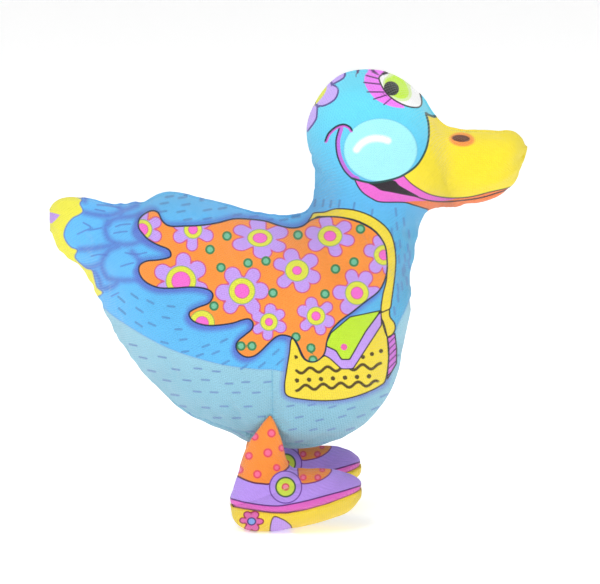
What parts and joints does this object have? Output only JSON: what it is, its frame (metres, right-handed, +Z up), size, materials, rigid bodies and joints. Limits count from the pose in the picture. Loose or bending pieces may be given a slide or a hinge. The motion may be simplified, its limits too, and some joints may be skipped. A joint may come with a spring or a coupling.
{
  "type": "stuffed duck toy",
  "caption": "Stuffed canvas duck for pets: printed sides and belly gusset over fibre filling, with booted legs that swing, a nodding neck and a squeaker inside.",
  "frame": {"origin": "on the ground under the middle of the bounding box", "axes": "+X towards the bill, +Y to the duck's left, +Z up"},
  "size_m": [0.2384, 0.093, 0.2304],
  "materials": {
    "printed_canvas": "matte woven cotton canvas, printed",
    "boot_canvas": "matte woven cotton canvas, printed",
    "sole_canvas": "matte woven cotton canvas, printed",
    "sewing_thread": "twisted polyester thread",
    "fibre_fill": "loose polyester fibre",
    "squeaker_plastic": "soft moulded plastic"
  },
  "bodies": {
    "torso": {"right_side_panel": "printed_canvas", "left_side_panel": "printed_canvas", "belly_gusset": "printed_canvas", "body_stuffing": "fibre_fill", "back_seam_thread": "sewing_thread", "throat_seam_thread": "sewing_thread", "rump_seam_thread": "sewing_thread", "right_gusset_seam_thread": "sewing_thread", "left_gusset_seam_thread": "sewing_thread", "right_dart_stitches": "sewing_thread", "left_dart_stitches": "sewing_thread", "closing_stitches": "sewing_thread", "squeaker_base": "squeaker_plastic", "squeaker_bellows": "squeaker_plastic", "squeaker_whistle_plug": "squeaker_plastic", "squeaker_reed": "squeaker_plastic"},
    "head": {"head_stuffing": "fibre_fill"},
    "right_leg": {"right_leg_outer_panel": "boot_canvas", "right_leg_inner_panel": "boot_canvas", "right_sole_panel": "sole_canvas", "right_leg_stuffing": "fibre_fill", "right_leg_seam_thread": "sewing_thread"},
    "left_leg": {"left_leg_outer_panel": "boot_canvas", "left_leg_inner_panel": "boot_canvas", "left_sole_panel": "sole_canvas", "left_leg_stuffing": "fibre_fill", "left_leg_seam_thread": "sewing_thread"},
    "squeaker_top": {"squeaker_cap": "squeaker_plastic"}
  },
  "joints": [
    {"name": "neck_nod", "type": "hinge", "parent": "torso", "child": "head", "pos_m": [0.0365, 0, 0.152], "axis": [0, 1, 0], "range_deg": [-12, 20], "stiffness_Nm_per_rad": 0.25, "deforming": ["right_side_panel", "left_side_panel", "back_seam_thread", "throat_seam_thread"]},
    {"name": "right_hip", "type": "hinge", "parent": "torso", "child": "right_leg", "pos_m": [-0.0115, -0.031, 0.048], "axis": [0, 1, 0], "range_deg": [-22, 22], "stiffness_Nm_per_rad": 0.2},
    {"name": "left_hip", "type": "hinge", "parent": "torso", "child": "left_leg", "pos_m": [-0.0115, 0.031, 0.048], "axis": [0, 1, 0], "range_deg": [-22, 22], "stiffness_Nm_per_rad": 0.2},
    {"name": "squeaker_squeeze", "type": "slide", "parent": "torso", "child": "squeaker_top", "axis": [0, 1, 0], "range_m": [0, 0.008], "stiffness_N_per_m": 300, "deforming": ["squeaker_bellows"]}
  ]
}
